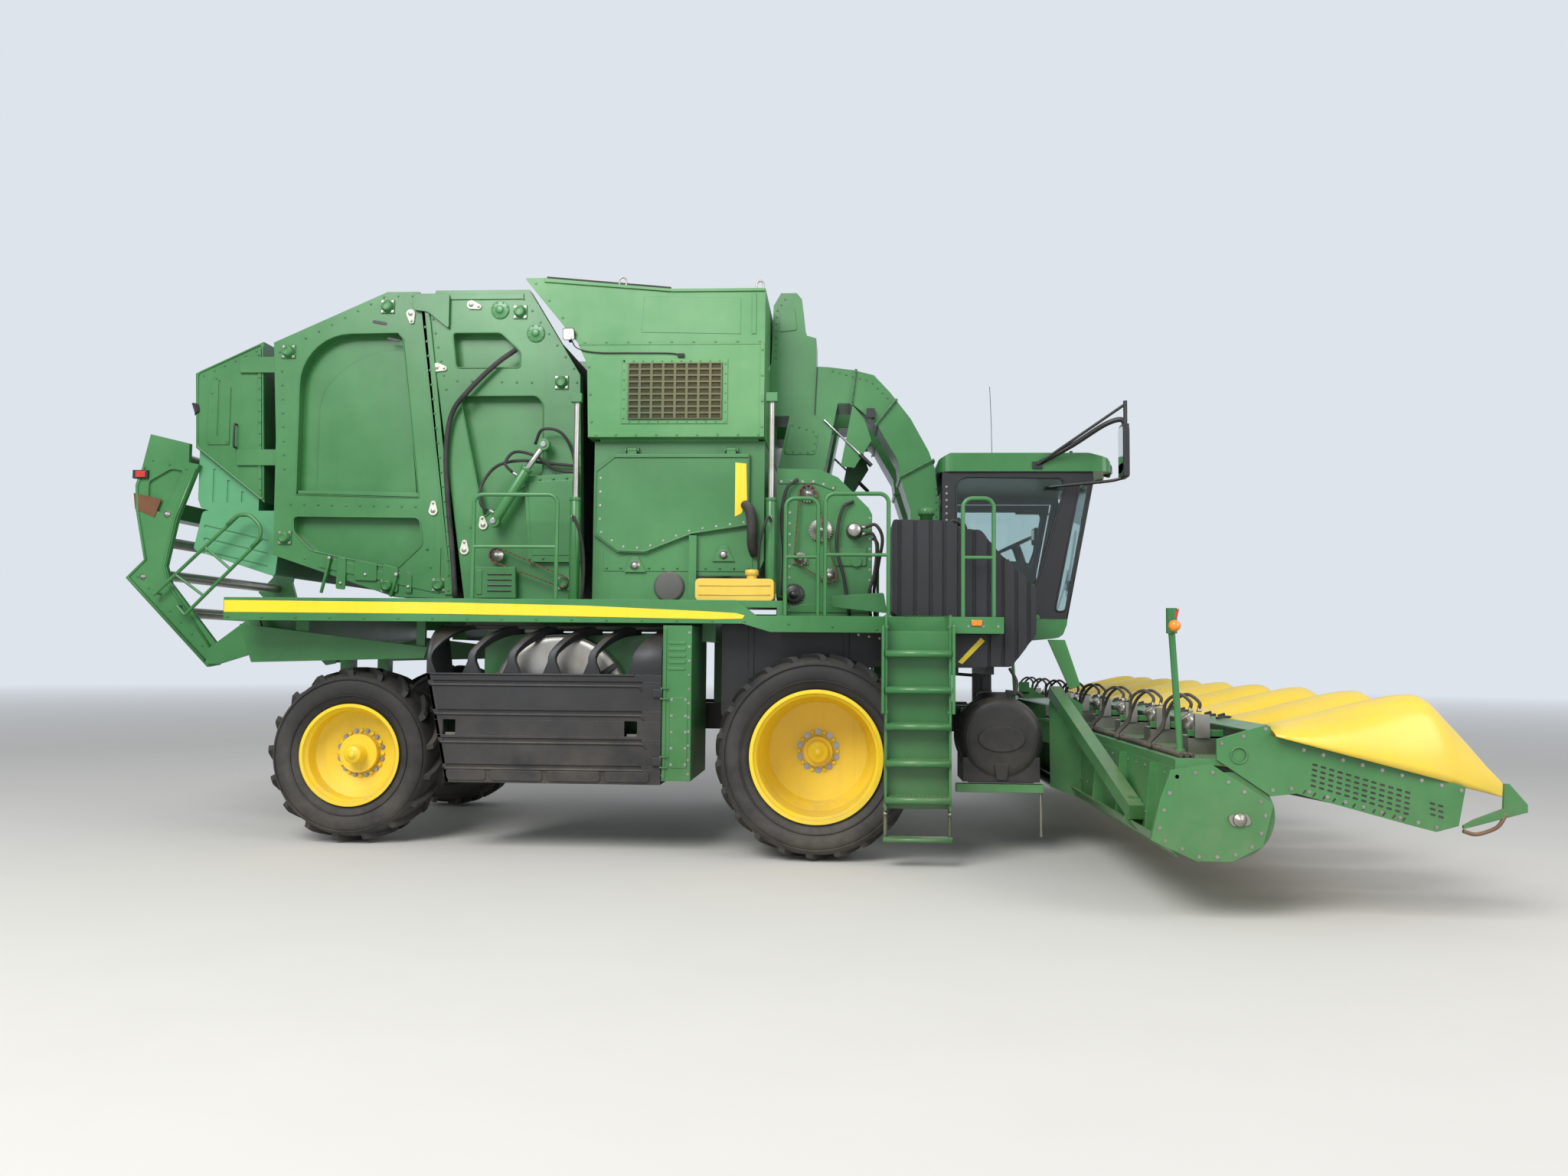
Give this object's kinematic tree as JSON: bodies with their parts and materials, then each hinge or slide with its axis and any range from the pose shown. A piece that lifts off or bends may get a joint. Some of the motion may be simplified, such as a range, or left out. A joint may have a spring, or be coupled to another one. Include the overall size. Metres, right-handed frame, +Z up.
{
  "type": "self-propelled cotton stripper with round module builder",
  "caption": "Self-propelled cotton harvester: wide front row header, cab, air ducts, accumulator, hinged round module builder and folding rear module handler, on four tractor tyres.",
  "frame": {"origin": "on the ground, under the middle of the whole machine's box", "axes": "+X forward towards the header, +Y to the machine's left, +Z up"},
  "size_m": [11.08, 8.4, 5.18],
  "materials": {
    "green_paint": "faded semi-gloss farm green",
    "faded_green": "chalked green, sun bleached",
    "yellow_paint": "semi-gloss yellow",
    "yellow_plastic": "glossy yellow moulded cover",
    "black_paint": "satin black",
    "black_plastic": "moulded black plastic",
    "tyre_rubber": "worn dusty rubber",
    "belt_rubber": "ribbed belt rubber",
    "bare_steel": "worn bare steel",
    "glass": "tinted cab glass",
    "mint_plastic": "faded mint plastic",
    "seat_fabric": "grey seat cloth",
    "grille_brown": "dirty brown grille",
    "amber_plastic": "amber moulded tank",
    "cast_grey": "cast block"
  },
  "bodies": {
    "chassis": {"frame": "black_paint", "front_axle": "green_paint", "rear_axle": "green_paint", "engine": "cast_grey", "deck": "green_paint", "deck_beams": "green_paint", "ladders": "green_paint", "handrails": "green_paint", "feeder_housing": "green_paint", "accumulator": "faded_green", "accumulator_grilles": "grille_brown", "ducts": "green_paint", "cleaner": "green_paint", "oil_tank": "amber_plastic", "fuel_tank": "black_plastic", "round_tank": "black_plastic", "lift_cylinders": "bare_steel", "cab_floor": "green_paint", "cab_frame": "black_paint", "cab_roof": "green_paint", "cab_glass": "glass", "seat": "seat_fabric", "console": "black_plastic", "mirrors": "black_plastic", "lamps": "bare_steel", "builder_frame": "green_paint", "builder_belts": "belt_rubber", "cooling_box": "green_paint"},
    "gate": {"gate_frame": "green_paint", "gate_belts": "belt_rubber", "wrap_box": "green_paint", "wrap_covers": "mint_plastic"},
    "handler": {"handler": "green_paint", "handler_rollers": "bare_steel"},
    "rotary_screen": {"rotary_screen": "bare_steel"},
    "screen_door": {"screen_door": "black_plastic"},
    "bay_door": {"bay_door": "green_paint"},
    "cab_door": {"cab_door": "black_paint", "cab_door_glass": "glass"},
    "header": {"header_frame": "green_paint", "row_units": "black_paint", "row_hoods": "yellow_plastic", "header_motors": "bare_steel", "marker_poles": "green_paint"},
    "auger": {"cross_auger": "green_paint"},
    "knuckle_left": {"knuckle_left": "green_paint"},
    "knuckle_right": {"knuckle_right": "green_paint"},
    "rear_left_wheel": {"rear_left_tyre": "tyre_rubber", "rear_left_rim": "yellow_paint"},
    "rear_right_wheel": {"rear_right_tyre": "tyre_rubber", "rear_right_rim": "yellow_paint"},
    "front_left_wheel": {"front_left_tyre": "tyre_rubber", "front_left_rim": "yellow_paint"},
    "front_right_wheel": {"front_right_tyre": "tyre_rubber", "front_right_rim": "yellow_paint"}
  },
  "joints": [
    {"name": "front_left_spin", "type": "hinge", "parent": "chassis", "child": "front_left_wheel", "pos_m": [0.98, 1.83, 0.87], "axis": [0, 1, 0], "continuous": true},
    {"name": "front_right_spin", "type": "hinge", "parent": "chassis", "child": "front_right_wheel", "pos_m": [0.98, -1.83, 0.87], "axis": [0, 1, 0], "continuous": true},
    {"name": "steer_left", "type": "hinge", "parent": "chassis", "child": "knuckle_left", "pos_m": [-3.21, 0.96, 0.79], "axis": [0, 0, 1], "range_deg": [-32, 32]},
    {"name": "steer_right", "type": "hinge", "parent": "chassis", "child": "knuckle_right", "pos_m": [-3.21, -0.96, 0.79], "axis": [0, 0, 1], "range_deg": [-32, 32]},
    {"name": "rear_left_spin", "type": "hinge", "parent": "knuckle_left", "child": "rear_left_wheel", "pos_m": [-3.21, 1.325, 0.79], "axis": [0, 1, 0], "continuous": true},
    {"name": "rear_right_spin", "type": "hinge", "parent": "knuckle_right", "child": "rear_right_wheel", "pos_m": [-3.21, -1.325, 0.79], "axis": [0, 1, 0], "continuous": true},
    {"name": "gate_open", "type": "hinge", "parent": "chassis", "child": "gate", "pos_m": [-2.72, 0, 4.95], "axis": [0, 1, 0], "range_deg": [0, 60]},
    {"name": "handler_fold", "type": "hinge", "parent": "chassis", "child": "handler", "pos_m": [-4.64, 0, 1.65], "axis": [0, -1, 0], "range_deg": [0, 95]},
    {"name": "screen_spin", "type": "hinge", "parent": "chassis", "child": "rotary_screen", "pos_m": [-1.29, -1.6, 1.262], "axis": [0, 1, 0], "continuous": true},
    {"name": "screen_door_swing", "type": "hinge", "parent": "chassis", "child": "screen_door", "pos_m": [-0.345, -1.964, 1.3], "axis": [0, 0, 1], "range_deg": [0, 95]},
    {"name": "bay_door_lift", "type": "hinge", "parent": "chassis", "child": "bay_door", "pos_m": [-0.27, -1.468, 3.56], "axis": [-1, 0, 0], "range_deg": [0, 80]},
    {"name": "cab_door_swing", "type": "hinge", "parent": "chassis", "child": "cab_door", "pos_m": [2.18, 0.966, 2.75], "axis": [0, 0, 1], "range_deg": [0, 80]},
    {"name": "header_lift", "type": "hinge", "parent": "chassis", "child": "header", "pos_m": [2.38, 0, 1.15], "axis": [0, 1, 0], "range_deg": [-5, 13]},
    {"name": "auger_spin", "type": "hinge", "parent": "header", "child": "auger", "pos_m": [3.72, 0, 0.7], "axis": [0, 1, 0], "continuous": true}
  ],
  "couplings": [
    {"joint": "steer_right", "follows": "steer_left", "ratio": 1},
    {"joint": "handler_fold", "follows": "gate_open", "ratio": 1.58}
  ]
}
